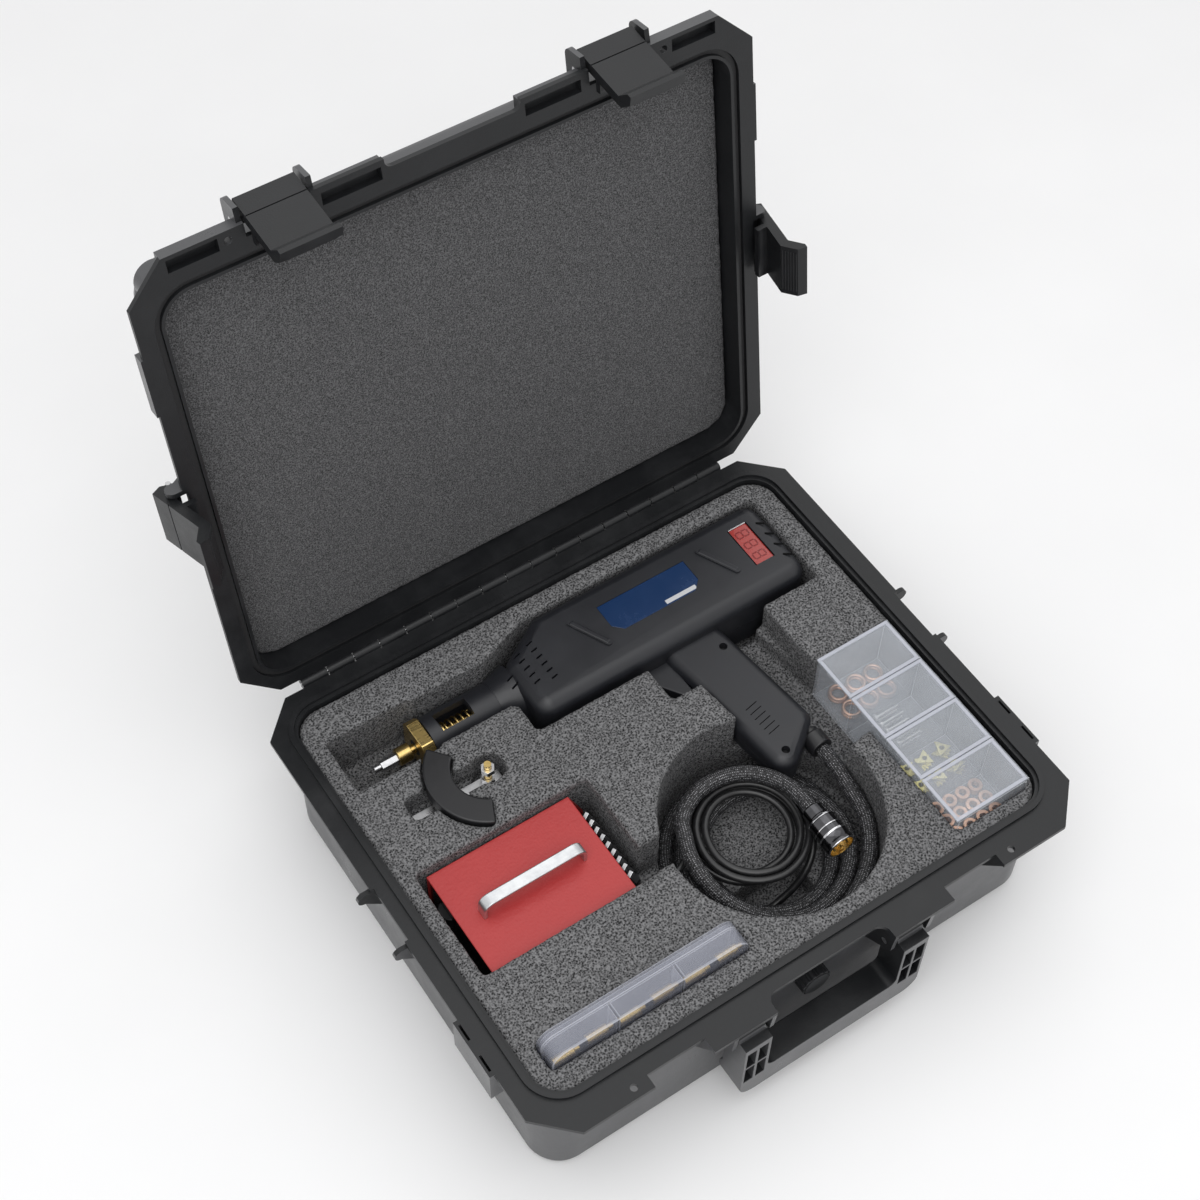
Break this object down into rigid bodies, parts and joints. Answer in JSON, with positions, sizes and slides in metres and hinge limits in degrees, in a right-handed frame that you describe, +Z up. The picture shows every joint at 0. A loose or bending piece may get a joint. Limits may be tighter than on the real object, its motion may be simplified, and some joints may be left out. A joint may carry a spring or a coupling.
{
  "type": "stud welder",
  "caption": "Cased stud welding set with a hinged lid, pistol-type gun, red power unit, leads, earth foot and small-parts boxes",
  "frame": {"origin": "on the floor under the middle of the rim, on the case's rest face", "axes": "+X to the right for someone standing at the handle, +Y from the handle to the hinge, +Z up"},
  "size_m": [0.5342, 0.5465, 0.5692],
  "materials": {
    "case_plastic": "moulded satin, fine grain",
    "foam": "open-cell speckled foam",
    "seal_rubber": "matt black",
    "steel": "plain turned",
    "gun_plastic": "fine spark texture",
    "label_blue": "printed film, bare",
    "lens_red": "tinted lens",
    "board": "board with solder mask",
    "winding": "laminations and winding",
    "dark_plastic": "moulded",
    "brass": "turned, dulled",
    "chrome": "plated",
    "braid": "woven sleeve with pale flecks",
    "cord_black": "smooth, low gloss",
    "red_paint": "fine crinkle paint",
    "aluminium": "satin",
    "frosted": "frosted clear",
    "copper": "plated copper, dulled"
  },
  "bodies": {
    "case": {"case_base": "case_plastic", "hinge_pin": "steel", "handle_pins": "steel", "base_foam": "foam", "gun_shell_left": "gun_plastic", "gun_shell_right": "gun_plastic", "label_plate": "label_blue", "display_lens": "lens_red", "display_module": "dark_plastic", "trigger_switch": "dark_plastic", "control_board": "board", "weld_transformer": "winding", "gun_screws": "steel", "strain_relief": "dark_plastic", "nose_spring": "brass", "earth_block": "brass", "rod_bush": "dark_plastic", "gun_lead": "braid", "mains_lead": "cord_black", "plug_shell": "chrome", "plug_insert": "dark_plastic", "plug_pins": "brass", "mains_plug": "dark_plastic", "mains_pins": "brass", "power_cover": "red_paint", "power_chassis": "dark_plastic", "power_bow": "aluminium", "power_transformer": "winding", "cord_gland": "dark_plastic", "earth_pad": "dark_plastic", "earth_bar": "steel", "earth_stud": "brass", "earth_nuts": "steel", "parts_tray": "frosted", "copper_rings": "copper", "weld_studs": "steel", "pull_plates": "brass", "washers": "copper", "organiser_body": "frosted", "organiser_lid": "frosted", "brass_bits": "brass"},
    "lid": {"case_lid": "case_plastic", "lid_foam": "foam", "rim_seal": "seal_rubber", "latch_pins": "steel"},
    "latch_fl": {"front_latch_left": "case_plastic"},
    "latch_fr": {"front_latch_right": "case_plastic"},
    "latch_sl": {"side_latch_left": "case_plastic"},
    "latch_sr": {"side_latch_right": "case_plastic"},
    "handle": {"carry_handle": "case_plastic"},
    "valve": {"pressure_valve": "case_plastic"},
    "gun_trigger": {"trigger": "gun_plastic"},
    "nose": {"electrode_rod": "brass", "nose_collar": "brass", "stud_chuck": "steel"},
    "rocker": {"power_rocker": "dark_plastic"},
    "box_lid_1": {"tray_lid_1": "frosted"},
    "box_lid_2": {"tray_lid_2": "frosted"},
    "box_lid_3": {"tray_lid_3": "frosted"},
    "box_lid_4": {"tray_lid_4": "frosted"}
  },
  "joints": [
    {"name": "lid_hinge", "type": "hinge", "parent": "case", "child": "lid", "pos_m": [0, 0.2186, 0.13], "axis": [-1, 0, 0], "range_deg": [-98.87, 0]},
    {"name": "latch_front_left", "type": "hinge", "parent": "lid", "child": "latch_fl", "pos_m": [-0.135, 0.2987, 0.5523], "axis": [1, 0, 0], "range_deg": [-83, 0]},
    {"name": "latch_front_right", "type": "hinge", "parent": "lid", "child": "latch_fr", "pos_m": [0.135, 0.2987, 0.5523], "axis": [1, 0, 0], "range_deg": [-83, 0]},
    {"name": "latch_side_left", "type": "hinge", "parent": "lid", "child": "latch_sl", "pos_m": [-0.255, 0.26538, 0.33888], "axis": [0, 0.1543, 0.988], "range_deg": [-83, 0]},
    {"name": "latch_side_right", "type": "hinge", "parent": "lid", "child": "latch_sr", "pos_m": [0.255, 0.26538, 0.33888], "axis": [0, -0.1543, -0.988], "range_deg": [-83, 0]},
    {"name": "handle_hinge", "type": "hinge", "parent": "case", "child": "handle", "pos_m": [0, -0.206, 0.108], "axis": [-1, 0, 0], "range_deg": [0, 90]},
    {"name": "valve_turn", "type": "hinge", "parent": "case", "child": "valve", "pos_m": [0, -0.1875, 0.083], "axis": [0, -1, 0], "range_deg": [0, 90]},
    {"name": "trigger_slide", "type": "slide", "parent": "case", "child": "gun_trigger", "axis": [1, 0, 0], "range_m": [0, 0.005], "stiffness_N_per_m": 900},
    {"name": "nose_slide", "type": "slide", "parent": "case", "child": "nose", "axis": [1, 0, 0], "range_m": [0, 0.004], "stiffness_N_per_m": 1500, "deforming": ["nose_spring"]},
    {"name": "rocker_tilt", "type": "hinge", "parent": "case", "child": "rocker", "pos_m": [-0.19967, 0, 0.089], "axis": [0, 0, 1], "range_deg": [-8, 8]},
    {"name": "box_lid_hinge_1", "type": "hinge", "parent": "case", "child": "box_lid_1", "pos_m": [0.221, -0.14575, 0.1345], "axis": [0, 1, 0], "range_deg": [0, 100]},
    {"name": "box_lid_hinge_2", "type": "hinge", "parent": "case", "child": "box_lid_2", "pos_m": [0.221, -0.10125, 0.1345], "axis": [0, 1, 0], "range_deg": [0, 100]},
    {"name": "box_lid_hinge_3", "type": "hinge", "parent": "case", "child": "box_lid_3", "pos_m": [0.221, -0.05675, 0.1345], "axis": [0, 1, 0], "range_deg": [0, 100]},
    {"name": "box_lid_hinge_4", "type": "hinge", "parent": "case", "child": "box_lid_4", "pos_m": [0.221, -0.01225, 0.1345], "axis": [0, 1, 0], "range_deg": [0, 100]}
  ]
}
